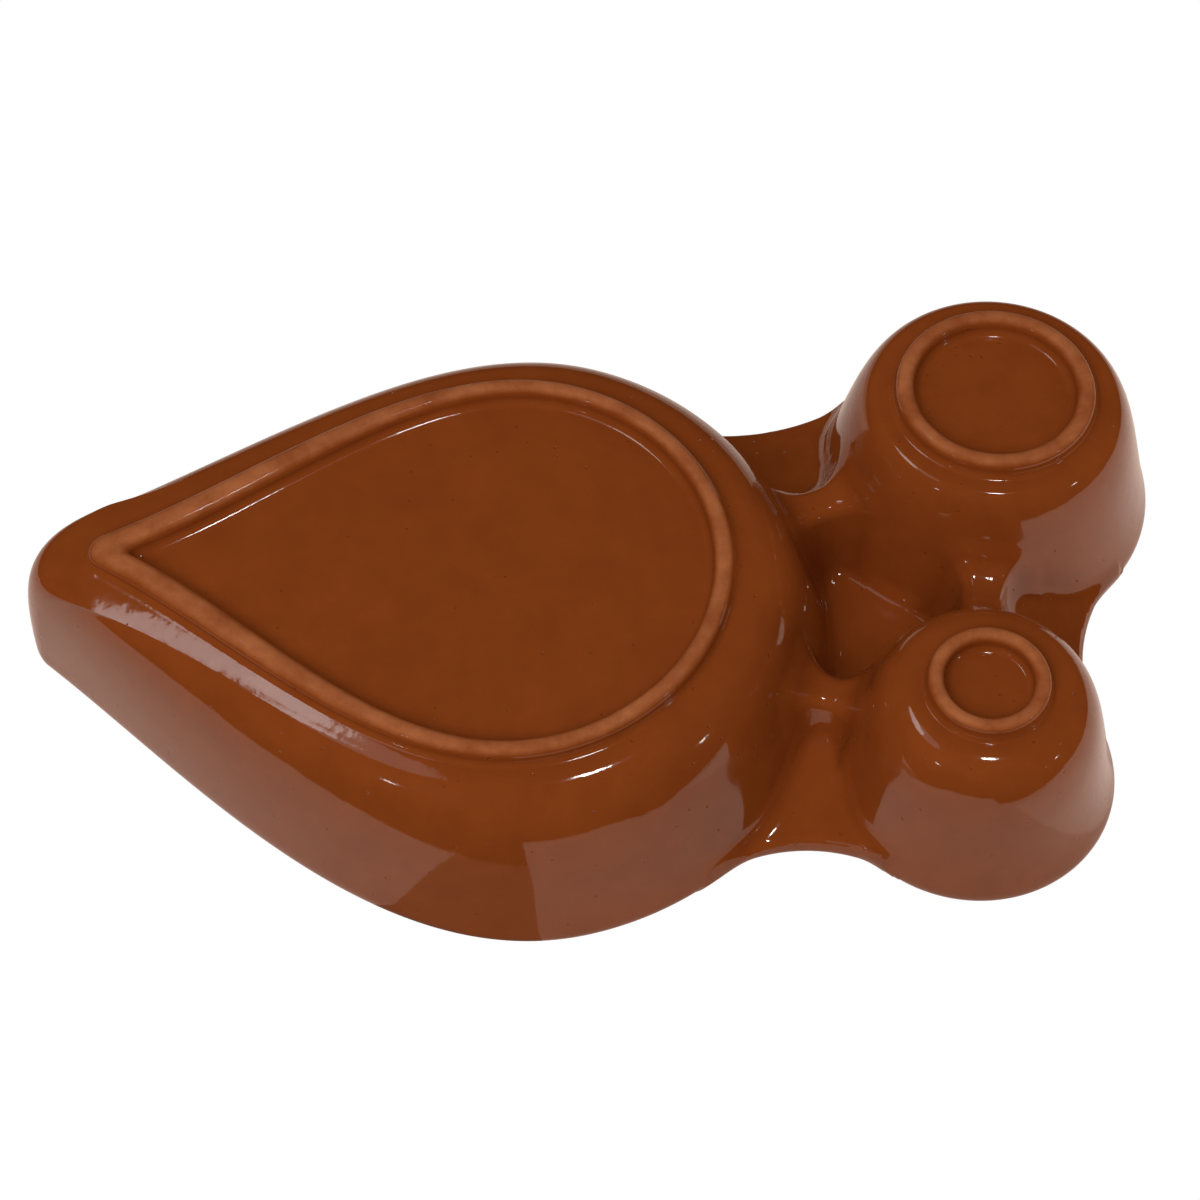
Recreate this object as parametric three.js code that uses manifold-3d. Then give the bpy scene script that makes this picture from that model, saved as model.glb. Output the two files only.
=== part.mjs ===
// Olive dish in glazed terracotta, standing on its foot rings with its rims up. Millimetres, +Z up.
// A teardrop olive bowl, a cup for the pits and a cup for the picks are luted together by a flat web
// at rim level and by three ribs at mid height, and each vessel stands on its own foot ring.
import * as THREE from 'three';
import { mergeVertices } from 'three/addons/utils/BufferGeometryUtils.js';
import Module from 'manifold-3d';

const DEGREE = Math.PI / 180;

// Heights and walls that the three vessels share
const HEIGHT = 43;
const WALL = 5;
const FLOOR = 5;
const FOOT_HEIGHT = 4;
const FOOT_EDGE = 0.9;
const SEAM = 0.4; // luting seam between two clay members, measured level

// Olive bowl: a round bulb drawn out to a tip at -X. Reach runs from the bulb's centre to the tip,
// taper is the angle between the bowl's axis and the flank where it meets the round tip.
const BOWL_RIM_RADIUS = 72.3;
const BOWL_RIM_REACH = 111;
const BOWL_RIM_TIP = 7.3;
const BOWL_RIM_TAPER = 37.4 * DEGREE;
const BOWL_FOOT_RADIUS = 49.5;
const BOWL_FOOT_REACH = 91;
const BOWL_FOOT_TIP = 4.5;
const BOWL_FOOT_TAPER = 27.2 * DEGREE;
const BOWL_FOOT_SETBACK = 1.1; // foot bulb's centre, from the rim bulb's centre towards the tip
const BOWL_FOOT_WIDTH = 4.4;
const BOWL_FOOT_TIP_WIDTH = 9.3;
const BOWL_SHOULDER = 3.9; // the wall starts this far outside the foot ring
const BOWL_TIP_SHOULDER = 6.4;
const BOWL_SHOULDER_TIP = 15; // the wall starts with a blunter tip than the foot ring has
const BOWL_SHOULDER_TAPER = 20.4 * DEGREE;
const BULB_ARC = 74 * DEGREE; // the bulb is round up to this bearing on either side of +X
const FLANK_HANDLE = 0.33; // length of the flank curve's handles, as a share of its chord
const SHARPEST_TIP = 1;

// Round cups
const PIT_CUP_RADIUS = 39.5;
const PIT_FOOT_RADIUS = 22.5;
const PIT_FOOT_WIDTH = 4.4;
const PIT_SHOULDER = 3.4;
const PICK_CUP_RADIUS = 31.7;
const PICK_FOOT_RADIUS = 13;
const PICK_FOOT_WIDTH = 3.6;
const PICK_SHOULDER = 1.9;

// Layout: clear distances between the rims, and the pit cup's bearing from the bowl's bulb
const BOWL_TO_PIT_GAP = 5.5;
const BOWL_TO_PICK_GAP = 1.7;
const PIT_TO_PICK_GAP = 5.7;
const PIT_CUP_BEARING = -25 * DEGREE;

// Web and ribs
const WEB_THICKNESS = 5;
const WEB_EDGE_ROUND = 1.6;
const WEB_BITE = 1; // the web's hollow edges run this far into the rims that they join
const BOWL_TO_PIT_EDGE_RADIUS = 48;
const PIT_TO_PICK_EDGE_RADIUS = 45;
const PICK_TO_BOWL_EDGE_RADIUS = 36;
const RIB_DROP = 22; // from the rim plane to the rib's crest
const RIB_CREST_WIDTH = 8;
const RIB_ROOT_WIDTH = 15;
const RIB_ROUND = 2.5;
const RIB_FLARE = 2.5; // the rib grows by this much on each side, and down, where it meets a wall
const RIB_WALL_FALL = 6; // each wall has fallen back this far from its rim at the rib's crest
const RIB_OVERRUN = 1.6; // length of the saddle before it is cut, as a share of its clear span

// Wall curves from rim to foot, in shares of the wall's run and drop: the handle at the rim, then the
// handle at the foot. Each wall is nearly straight, with a round shoulder that starts level at the foot.
const BULB_WALL = { rim: [0.78, 0.27], foot: [0.5, 1] };
const TIP_WALL = { rim: [0.9, 0.84], foot: [0.5, 1] };
const PIT_WALL = { rim: [0.64, 0.38], foot: [0.5, 1] };
const PICK_WALL = { rim: [0.61, 0.45], foot: [0.73, 1] };

// Facets
const WALL_STEPS = 9;
const RIM_STEPS = 4;
const EDGE_STEPS = 2;
const CUP_SIDES = 40;
const BULB_STEPS = 20;
const FLANK_STEPS = 11;
const TIP_STEPS = 5;
const ARC_STEPS = 12;
const RIB_STEPS = 5;

const RIM_ROUND = WALL / 2;
const FLOOR_LEVEL = FOOT_HEIGHT + FLOOR;

const wasm = await Module();
wasm.setup();

// Clay and glaze

const glaze = { color: 0x7a3814, roughness: 0.15, metalness: 0 };
const bareClay = { color: 0xa0603a, roughness: 0.85, metalness: 0 };

function member(name, geometry, finish) {
  geometry.computeVertexNormals();
  const mesh = new THREE.Mesh(geometry, new THREE.MeshStandardMaterial(finish));
  mesh.name = name;
  return mesh;
}

// Solids: joining columns of points into a closed surface, and cutting one solid by others

// Columns stand side by side round the piece, counter-clockwise from above, and run from the outside
// of its underside over the rim to its inside. A capped loft closes the first and last points of the
// columns with flat faces; otherwise each column is itself a closed loop.
function loft(columns, capped) {
  const around = columns.length;
  const along = columns[0].length;
  const positions = columns.flat().flatMap((point) => [point.x, point.y, point.z]);
  const index = [];
  const at = (column, row) => (column % around) * along + (row % along);
  const rows = capped ? along - 1 : along;
  for (let column = 0; column < around; column += 1) {
    for (let row = 0; row < rows; row += 1) {
      const [a, b] = [at(column, row), at(column + 1, row)];
      const [c, d] = [at(column + 1, row + 1), at(column, row + 1)];
      index.push(a, b, c, a, c, d);
    }
  }
  if (capped) {
    const [under, inside] = [around * along, around * along + 1];
    for (const row of [0, along - 1]) {
      const centre = columns.reduce((sum, points) => sum.add(points[row]), new THREE.Vector3());
      positions.push(...centre.divideScalar(around).toArray());
    }
    for (let column = 0; column < around; column += 1) {
      index.push(under, at(column + 1, 0), at(column, 0));
      index.push(inside, at(column, along - 1), at(column + 1, along - 1));
    }
  }
  const geometry = new THREE.BufferGeometry();
  geometry.setAttribute('position', new THREE.Float32BufferAttribute(positions, 3));
  geometry.setIndex(index);
  return geometry;
}

function toSolid(geometry) {
  const bare = geometry.clone();
  bare.deleteAttribute('normal');
  bare.deleteAttribute('uv');
  const merged = mergeVertices(bare);
  return new wasm.Manifold(new wasm.Mesh({
    numProp: 3,
    vertProperties: new Float32Array(merged.attributes.position.array),
    triVerts: new Uint32Array(merged.index.array),
  }));
}

function cut(geometry, cutters) {
  const solid = cutters.reduce((rest, cutter) => rest.subtract(cutter), toSolid(geometry));
  const mesh = solid.getMesh();
  const result = new THREE.BufferGeometry();
  result.setAttribute('position', new THREE.BufferAttribute(mesh.vertProperties, 3));
  result.setIndex(new THREE.BufferAttribute(mesh.triVerts, 1));
  return result;
}

// Vessel walls: stations from the underside, up the outer wall, over the round rim and down inside.
// Share runs from 0 at the wall's foot to 1 at the rim, depth is measured inwards from the outer wall.

function mix(from, to, share) {
  return from.map((value, i) => THREE.MathUtils.lerp(value, to[i], share));
}

function wallCurve(wall) {
  const ends = [[1, 0], wall.rim, wall.foot, [0, 1]].map((pair) => new THREE.Vector2(...pair));
  return new THREE.CubicBezierCurve(...ends).getPoints(WALL_STEPS);
}

function wallSide(wall, foot, depth) {
  const top = HEIGHT - RIM_ROUND;
  return wallCurve(wall).map(({ x, y }) => ({ share: x, depth, z: THREE.MathUtils.lerp(top, foot, y) }));
}

function rimRound() {
  const stations = [];
  for (let step = 1; step < RIM_STEPS; step += 1) {
    const angle = (Math.PI * step) / RIM_STEPS;
    const depth = RIM_ROUND * (1 - Math.cos(angle));
    stations.push({ share: 1, depth, z: HEIGHT - RIM_ROUND * (1 - Math.sin(angle)) });
  }
  return stations;
}

function vesselStations(wall) {
  const outside = wallSide(wall, FOOT_HEIGHT, 0).reverse();
  return [...outside, ...rimRound(), ...wallSide(wall, FLOOR_LEVEL, WALL)];
}

// The room that a vessel takes up, with the seam round it: its outer wall, carried straight up past the rim
function clearanceStations(wall) {
  const outside = wallSide(wall, FOOT_HEIGHT, -SEAM).reverse();
  return [...outside, { share: 1, depth: -SEAM, z: HEIGHT + WALL }];
}

// Teardrop outlines

function teardrop({ radius, reach, tip, taper, setback }) {
  const bearing = Math.PI / 2 + taper;
  const bulbEnd = new THREE.Vector2(radius, 0).rotateAround(new THREE.Vector2(), BULB_ARC);
  const tipCentre = new THREE.Vector2(tip - reach, 0);
  const tipStart = new THREE.Vector2(tip, 0).rotateAround(new THREE.Vector2(), bearing).add(tipCentre);
  const handle = FLANK_HANDLE * bulbEnd.distanceTo(tipStart);
  const bulbHandle = new THREE.Vector2(0, handle).rotateAround(new THREE.Vector2(), BULB_ARC).add(bulbEnd);
  const tipHandle = new THREE.Vector2(0, -handle).rotateAround(new THREE.Vector2(), bearing).add(tipStart);
  const mirror = (point) => new THREE.Vector2(point.x, -point.y);
  const curves = [
    [new THREE.EllipseCurve(0, 0, radius, radius, -BULB_ARC, BULB_ARC), BULB_STEPS],
    [new THREE.CubicBezierCurve(bulbEnd, bulbHandle, tipHandle, tipStart), FLANK_STEPS],
    [new THREE.EllipseCurve(tipCentre.x, 0, tip, tip, bearing, 2 * Math.PI - bearing), TIP_STEPS],
    [new THREE.CubicBezierCurve(...[tipStart, tipHandle, bulbHandle, bulbEnd].map(mirror)), FLANK_STEPS],
  ];
  const points = curves.flatMap(([curve, steps]) => curve.getPoints(steps).slice(1));
  return points.map((point) => point.sub(new THREE.Vector2(setback, 0)));
}

function inset(outline, by) {
  const tip = Math.max(outline.tip - by, SHARPEST_TIP);
  return { ...outline, radius: outline.radius - by, reach: outline.reach - by, tip };
}

const bowlRim = {
  radius: BOWL_RIM_RADIUS, reach: BOWL_RIM_REACH, tip: BOWL_RIM_TIP, taper: BOWL_RIM_TAPER, setback: 0,
};
const bowlFoot = {
  radius: BOWL_FOOT_RADIUS,
  reach: BOWL_FOOT_REACH,
  tip: BOWL_FOOT_TIP,
  taper: BOWL_FOOT_TAPER,
  setback: BOWL_FOOT_SETBACK,
};
const bowlWallFoot = {
  radius: BOWL_FOOT_RADIUS + BOWL_SHOULDER,
  reach: BOWL_FOOT_REACH + BOWL_TIP_SHOULDER,
  tip: BOWL_SHOULDER_TIP,
  taper: BOWL_SHOULDER_TAPER,
  setback: BOWL_FOOT_SETBACK,
};

// Olive bowl

function bowlSurface(stationsOf) {
  const tipShare = (point) => THREE.MathUtils.smoothstep(-point.x, 0, BOWL_FOOT_REACH);
  const walls = teardrop(bowlWallFoot).map((point) => ({
    rim: mix(BULB_WALL.rim, TIP_WALL.rim, tipShare(point)),
    foot: mix(BULB_WALL.foot, TIP_WALL.foot, tipShare(point)),
  }));
  const columns = walls.map((wall) => stationsOf(wall));
  const levels = columns[0].map((station) => ({
    rim: teardrop(inset(bowlRim, station.depth)),
    foot: teardrop(inset(bowlWallFoot, station.depth)),
  }));
  return loft(columns.map((stations, column) => stations.map(({ share, z }, row) => {
    const point = levels[row].foot[column].clone().lerp(levels[row].rim[column], share);
    return new THREE.Vector3(point.x, point.y, z);
  })), true);
}

// Section of a foot ring as a closed loop, from its outer bottom edge upwards: across runs from the
// outer face to the inner one, and the two bottom edges are rounded
function footSection(width) {
  const section = new THREE.Path();
  const top = FOOT_HEIGHT - SEAM;
  section.absarc(FOOT_EDGE, FOOT_EDGE, FOOT_EDGE, 1.5 * Math.PI, Math.PI, true);
  section.lineTo(0, top);
  section.lineTo(width, top);
  section.absarc(width - FOOT_EDGE, FOOT_EDGE, FOOT_EDGE, 0, -0.5 * Math.PI, true);
  return section.getPoints(EDGE_STEPS);
}

function bowlFootRing() {
  const section = footSection(BOWL_FOOT_WIDTH);
  const inner = {
    ...inset(bowlFoot, BOWL_FOOT_WIDTH), reach: BOWL_FOOT_REACH - BOWL_FOOT_TIP_WIDTH,
  };
  const outerPoints = teardrop(bowlFoot);
  const innerPoints = teardrop(inner);
  return loft(outerPoints.map((outerPoint, column) => section.map(({ x, y }) => {
    const point = outerPoint.clone().lerp(innerPoints[column], x / BOWL_FOOT_WIDTH);
    return new THREE.Vector3(point.x, point.y, y);
  })), false);
}

// Round cups

function revolve(profile) {
  return new THREE.LatheGeometry(profile, CUP_SIDES).rotateX(Math.PI / 2);
}

function cupSurface(cup, stations) {
  const footRadius = cup.footRadius + cup.shoulder;
  const wall = stations.map(({ share, depth, z }) => (
    new THREE.Vector2(THREE.MathUtils.lerp(footRadius, cup.radius, share) - depth, z)
  ));
  const onAxis = (point) => new THREE.Vector2(0, point.y);
  return revolve([onAxis(wall[0]), ...wall, onAxis(wall[wall.length - 1])]);
}

function cupFootRing(cup) {
  const section = footSection(cup.footWidth).map(({ x, y }) => new THREE.Vector2(cup.footRadius - x, y));
  return revolve([...section, section[0]]);
}

// Layout: the three rims stand at their gaps from each other, and the bowl's bulb is at the origin

const bowl = { centre: new THREE.Vector2(0, 0), radius: BOWL_RIM_RADIUS };
const pitCup = {
  radius: PIT_CUP_RADIUS,
  footRadius: PIT_FOOT_RADIUS,
  footWidth: PIT_FOOT_WIDTH,
  shoulder: PIT_SHOULDER,
  wall: PIT_WALL,
};
const pickCup = {
  radius: PICK_CUP_RADIUS,
  footRadius: PICK_FOOT_RADIUS,
  footWidth: PICK_FOOT_WIDTH,
  shoulder: PICK_SHOULDER,
  wall: PICK_WALL,
};
const toPit = BOWL_RIM_RADIUS + BOWL_TO_PIT_GAP + PIT_CUP_RADIUS;
const toPick = BOWL_RIM_RADIUS + BOWL_TO_PICK_GAP + PICK_CUP_RADIUS;
const pitToPick = PIT_CUP_RADIUS + PIT_TO_PICK_GAP + PICK_CUP_RADIUS;
const spread = Math.acos((toPit ** 2 + toPick ** 2 - pitToPick ** 2) / (2 * toPit * toPick));
pitCup.centre = new THREE.Vector2(toPit, 0).rotateAround(bowl.centre, PIT_CUP_BEARING);
pickCup.centre = new THREE.Vector2(toPick, 0).rotateAround(bowl.centre, PIT_CUP_BEARING + spread);

const cupClearance = (cup) => toSolid(
  cupSurface(cup, clearanceStations(cup.wall)).translate(cup.centre.x, cup.centre.y, 0),
);
bowl.clearance = toSolid(bowlSurface(clearanceStations));
pitCup.clearance = cupClearance(pitCup);
pickCup.clearance = cupClearance(pickCup);

// Web: hollow edges that sweep from rim to rim, joined through the vessels' centres and cut by the vessels

function hollowEdge(from, to, radius) {
  const [fromRadius, toRadius] = [from.radius - WEB_BITE, to.radius - WEB_BITE];
  const span = from.centre.distanceTo(to.centre);
  const along = ((fromRadius + radius) ** 2 - (toRadius + radius) ** 2 + span ** 2) / (2 * span);
  const out = Math.sqrt((fromRadius + radius) ** 2 - along ** 2);
  const heading = to.centre.clone().sub(from.centre).angle();
  const centre = new THREE.Vector2(along, -out).rotateAround(new THREE.Vector2(), heading).add(from.centre);
  const bearing = (vessel) => vessel.centre.clone().sub(centre).angle();
  return { centre, radius, start: bearing(from), end: bearing(to), next: to.centre };
}

function webPlate() {
  const edges = [
    hollowEdge(bowl, pitCup, BOWL_TO_PIT_EDGE_RADIUS),
    hollowEdge(pitCup, pickCup, PIT_TO_PICK_EDGE_RADIUS),
    hollowEdge(pickCup, bowl, PICK_TO_BOWL_EDGE_RADIUS),
  ];
  const outline = new THREE.Shape();
  edges.forEach(({ centre, radius, start, end, next }) => {
    outline.absarc(centre.x, centre.y, radius, start, end, true);
    outline.lineTo(next.x, next.y);
  });
  const plate = new THREE.ExtrudeGeometry(outline, {
    depth: WEB_THICKNESS - 2 * WEB_EDGE_ROUND,
    bevelThickness: WEB_EDGE_ROUND,
    bevelSize: WEB_EDGE_ROUND,
    bevelOffset: -WEB_EDGE_ROUND,
    bevelSegments: EDGE_STEPS,
    curveSegments: ARC_STEPS,
  });
  plate.translate(0, 0, HEIGHT - WEB_THICKNESS + WEB_EDGE_ROUND);
  return cut(plate, [bowl.clearance, pitCup.clearance, pickCup.clearance]);
}

// Ribs: a saddle below the web, with a rounded crest that drops and widens where it meets the two walls.
// It is lofted along the line of centres, past both walls, and cut by both vessels.

function ribSection(flare) {
  const root = HEIGHT - WEB_THICKNESS - SEAM;
  const crest = HEIGHT - RIB_DROP - flare;
  const [halfRoot, halfCrest] = [RIB_ROOT_WIDTH / 2 + flare, RIB_CREST_WIDTH / 2 + flare];
  const lean = Math.atan2(halfRoot - halfCrest, root - crest);
  const rise = new THREE.Vector2(Math.sin(lean), Math.cos(lean)).multiplyScalar(RIB_ROUND);
  const section = new THREE.Path();
  section.moveTo(-halfRoot, root);
  section.lineTo(-halfCrest - rise.x, crest + rise.y);
  section.quadraticCurveTo(-halfCrest, crest, -halfCrest + RIB_ROUND, crest);
  section.lineTo(halfCrest - RIB_ROUND, crest);
  section.quadraticCurveTo(halfCrest, crest, halfCrest + rise.x, crest + rise.y);
  section.lineTo(halfRoot, root);
  return section.getPoints(EDGE_STEPS + 1);
}

function rib(from, to) {
  const span = to.centre.clone().sub(from.centre);
  const gap = span.length() - from.radius - to.radius;
  const halfSpan = gap / 2 + RIB_WALL_FALL;
  const sections = [];
  for (let step = -RIB_STEPS; step <= RIB_STEPS; step += 1) {
    const share = (RIB_OVERRUN * step) / RIB_STEPS;
    const along = from.radius + gap / 2 + halfSpan * share;
    sections.push(ribSection(RIB_FLARE * share ** 2).map(({ x, y }) => new THREE.Vector3(x, y, along)));
  }
  const columns = sections[0].map((_, column) => sections.map((section) => section[column]));
  const forward = new THREE.Vector3(span.x, span.y, 0).normalize();
  const up = new THREE.Vector3(0, 0, 1);
  const across = up.clone().cross(forward);
  const saddle = loft(columns, true);
  saddle.applyMatrix4(new THREE.Matrix4().makeBasis(across, up, forward));
  saddle.translate(from.centre.x, from.centre.y, 0);
  return cut(saddle, [from.clearance, to.clearance]);
}

// Assembly, centred over its footprint

function cupMembers(name, cup) {
  const group = new THREE.Group();
  group.add(member(name, cupSurface(cup, vesselStations(cup.wall)), glaze));
  group.add(member(`${name}_foot`, cupFootRing(cup), bareClay));
  group.position.set(cup.centre.x, cup.centre.y, 0);
  return group;
}

const dish = new THREE.Group();
dish.add(member('olive_bowl', bowlSurface(vesselStations), glaze));
dish.add(member('olive_bowl_foot', bowlFootRing(), bareClay));
dish.add(cupMembers('pit_cup', pitCup));
dish.add(cupMembers('pick_cup', pickCup));
dish.add(member('rim_web', webPlate(), glaze));
dish.add(member('bowl_to_pit_cup_rib', rib(bowl, pitCup), glaze));
dish.add(member('bowl_to_pick_cup_rib', rib(bowl, pickCup), glaze));
dish.add(member('pit_cup_to_pick_cup_rib', rib(pitCup, pickCup), glaze));

const eastEnd = Math.max(pitCup.centre.x + pitCup.radius, pickCup.centre.x + pickCup.radius);
const northEnd = Math.max(bowl.radius, pickCup.centre.y + pickCup.radius);
const southEnd = Math.min(-bowl.radius, pitCup.centre.y - pitCup.radius);
dish.position.set((BOWL_RIM_REACH - eastEnd) / 2, -(northEnd + southEnd) / 2, 0);

export default dish;
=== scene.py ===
"""Looks of an olive dish in honey-glazed terracotta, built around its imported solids.

The dish stands on its foot rings, and the main camera looks up at it from below, because the
photograph shows it turned over. Lengths are millimetres until a mesh is made in metres.
"""

import logging
import math
from dataclasses import dataclass, field
from enum import Enum
from typing import Callable, Protocol, Sequence

import bpy
import numpy as np
from mathutils import Matrix, Vector


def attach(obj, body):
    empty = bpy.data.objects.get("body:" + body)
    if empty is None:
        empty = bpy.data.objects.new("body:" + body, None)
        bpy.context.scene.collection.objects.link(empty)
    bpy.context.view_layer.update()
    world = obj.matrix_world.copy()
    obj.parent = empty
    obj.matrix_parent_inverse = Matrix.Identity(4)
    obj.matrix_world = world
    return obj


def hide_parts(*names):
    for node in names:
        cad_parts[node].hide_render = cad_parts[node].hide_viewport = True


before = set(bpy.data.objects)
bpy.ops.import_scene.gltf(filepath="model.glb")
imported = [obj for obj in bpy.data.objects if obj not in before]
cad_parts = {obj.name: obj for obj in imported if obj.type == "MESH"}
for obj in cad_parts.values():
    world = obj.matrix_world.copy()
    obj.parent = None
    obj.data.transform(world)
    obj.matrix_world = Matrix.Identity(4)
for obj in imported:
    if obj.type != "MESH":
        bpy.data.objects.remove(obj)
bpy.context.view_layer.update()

log = logging.getLogger("olive_dish")
Array = np.ndarray
Handle = tuple[Array | float, Array | float]

MM = 0.001
TINY = 1e-12
ROOT = "root"

# Sizes that several pieces share
HEIGHT = 43.0
WALL = 5.0
FLOOR = 5.0
FOOT_HEIGHT = 4.0
FLOOR_LEVEL = FOOT_HEIGHT + FLOOR
RIM_ROUND = WALL / 2
RIM_LEVEL = HEIGHT - RIM_ROUND
WEB_THICKNESS = 5.0
WEB_UNDERSIDE = HEIGHT - WEB_THICKNESS

# Teardrop outlines: half of the bulb's arc, the flank's handles as a share of its span, least tip
BULB_ARC = math.radians(74)
FLANK_HANDLE = 0.33
SHARPEST_TIP = 1.0

# Underside between foot ring and wall: limit of its drop, and share of the wall's slope at the ring
DOME_LIMIT = 1.6
DOME_START = 0.25

# Web: its bite into the rims, the lead below it where fillets start to narrow, and how steeply the
# distance from a hollow edge grows past the edge's ends
WEB_BITE = 1.0
WEB_LEAD = 1.0
END_SLOPE = 2.0

# Ramps from the ribs to the web's edges: level and place of the start, gaps to the web at the end
RAMP_LEVEL = 30.3
RAMP_START = 10.0
RAMP_GAP = 0.5
RAMP_INSET = 1.0

# Ribs below the web
RIB_DROP = 22.0
RIB_ROOT = WEB_UNDERSIDE + 1.0
RIB_CREST_WIDTH = 8.0
RIB_ROOT_WIDTH = 15.0
RIB_ROUND = 2.5
RIB_FLARE = 2.5
FLARE_LIMIT = 1.3

# Directions in the part's frame: away from the main camera, to its right, and up
FAR = Vector((-0.0783, -0.9969, 0))
SIDE = Vector((0.9969, -0.0783, 0))
UP = Vector((0, 0, 1))

# Fineness of the surfaces
BULB_STEPS = 150
FLANK_STEPS = 90
TIP_STEPS = 26
CUP_STEPS = 240
WALL_STEPS = 72
RIM_STEPS = 16
CAP_STEPS = 22
DOME_STEPS = 8
PROFILE_STEPS = 240
ROUND_STEPS = 10
WELD_DIGITS = 4

# Rows below and above the start of the round rim that are eased, and how often
EASE_BELOW = 6
EASE_ABOVE = 5
EASE_PASSES = 14

# Stage, in metres
FLOOR_REACH = 9.0
FLOOR_DROP = 0.0003
TABLE_STEP = 0.0002


def mix(a: Array | float, b: Array | float, share: Array | float) -> Array:
    """Value a share of the way from a to b."""
    return a + (b - a) * share


def bezier(t: Array, points: Sequence[Array | float]) -> Array:
    """Cubic Bezier curve at t, from its four control values.

    Args:
        t: shares of the way along the curve.
        points: the start, two handles and the end.

    Returns:
        Values of the curve, in the shape of t and the control values together.
    """
    a, b, c, d = points
    s = 1 - t
    return s**3 * a + 3 * s**2 * t * b + 3 * s * t**2 * c + t**3 * d


def bend(t: Array, a: Array, b: Array, c: Array) -> Array:
    """Quadratic Bezier curve at t, from a towards b and on to c."""
    return (1 - t) ** 2 * a + 2 * (1 - t) * t * b + t**2 * c


def arc(x: float, z: float, radius: float, angle: Array) -> Array:
    """Points of an upright arc about a centre, at angles from the level."""
    return np.array([x, z]) + radius * heading(angle)


def smoothstep(x: Array) -> Array:
    """Smooth ramp from 0 at 0 to 1 at 1, as x squared times three less twice x."""
    x = np.clip(x, 0, 1)
    return x * x * (3 - 2 * x)


def rim_share(z: Array) -> Array:
    """Smooth share of the way up from just below the web to just below the rim's top."""
    return smoothstep((z - WEB_UNDERSIDE + WEB_LEAD) / WEB_THICKNESS)


def blend(a: Array, b: Array, width: Array | float) -> Array:
    """Smooth minimum of two distances, which rounds the corner between them over a width."""
    share = np.clip(0.5 + 0.5 * (b - a) / width, 0, 1)
    return mix(b, a, share) - width * share * (1 - share)


def unit(v: Array) -> Array:
    """Vectors scaled to length 1 along their last axis."""
    return v / np.maximum(np.linalg.norm(v, axis=-1, keepdims=True), TINY)


def level_length(v: Array) -> Array:
    """Lengths of vectors as seen from above."""
    return np.hypot(v[..., 0], v[..., 1])


def heading(angle: Array | float) -> Array:
    """Unit vectors in a plane, at angles from its first axis."""
    return np.stack([np.cos(angle), np.sin(angle)], -1)


def bearing(v: Array) -> float:
    """Bearing of a level vector from +X."""
    return math.atan2(v[1], v[0])


def raised(level: Array, z: Array | float) -> Array:
    """Points from their places as seen from above and their heights."""
    return np.concatenate([level, np.broadcast_to(z, level.shape[:-1])[..., None]], -1)


def shrunk(loop: Array, middle: Array, shares: Array) -> Array:
    """Copies of a loop of points, each drawn in to a share of its way from a middle."""
    return mix(middle, loop, shares[:, None, None])


class Outline(Protocol):
    """Closed outline in plan that can be set back by a depth."""

    @property
    def radius(self) -> float:
        """Radius of the outline's round part."""

    def points(self, depth: Array) -> Array:
        """Outline points, rows by depth and columns counter-clockwise from above."""


def plain(outline: Outline) -> Array:
    """Points of an outline that isn't set back."""
    return outline.points(np.zeros(1))[0]


@dataclass(frozen=True)
class Teardrop:
    """Round bulb about the origin, drawn out to a round tip at -X."""

    radius: float
    reach: float
    tip: float
    taper: float
    setback: float = 0.0

    def points(self, depth: Array) -> Array:
        """A bulb arc, a Bezier flank tangent to bulb and tip, a tip arc, and the mirrored flank.

        Args:
            depth: how far each row is set back, one value a row.

        Returns:
            Array of rows x columns x 2.
        """
        d = depth.reshape(-1, 1)
        radius, reach = self.radius - d, self.reach - d
        tip = np.maximum(self.tip - d, SHARPEST_TIP)
        turn = math.pi / 2 + self.taper
        round_bulb = np.linspace(-BULB_ARC, BULB_ARC, BULB_STEPS + 1)[1:]
        bulb = radius[..., None] * heading(round_bulb)
        centre = np.concatenate([tip - reach, 0 * d], 1)
        start = radius * heading(BULB_ARC)
        end = centre + tip * heading(turn)
        handle = FLANK_HANDLE * np.linalg.norm(end - start, axis=1, keepdims=True)
        start_handle = start + handle * heading(BULB_ARC + math.pi / 2)
        end_handle = end - handle * heading(turn + math.pi / 2)
        t = np.linspace(0, 1, FLANK_STEPS + 1)[None, :, None]
        flank = bezier(t, [p[:, None] for p in (start, start_handle, end_handle, end)])
        round_tip = np.linspace(turn, 2 * math.pi - turn, TIP_STEPS + 1)[1:]
        nose = centre[:, None] + tip[..., None] * heading(round_tip)
        mirrored = flank[:, ::-1] * np.array([1, -1])
        whole = np.concatenate([bulb, flank[:, 1:], nose, mirrored[:, 1:]], 1)
        return whole - np.array([self.setback, 0])


@dataclass(frozen=True)
class Circle:
    """Round outline about the origin."""

    radius: float

    def points(self, depth: Array) -> Array:
        """Circle points, rows by depth."""
        around = heading(np.linspace(0, 2 * math.pi, CUP_STEPS, endpoint=False))
        return (self.radius - depth.reshape(-1, 1, 1)) * around


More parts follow.
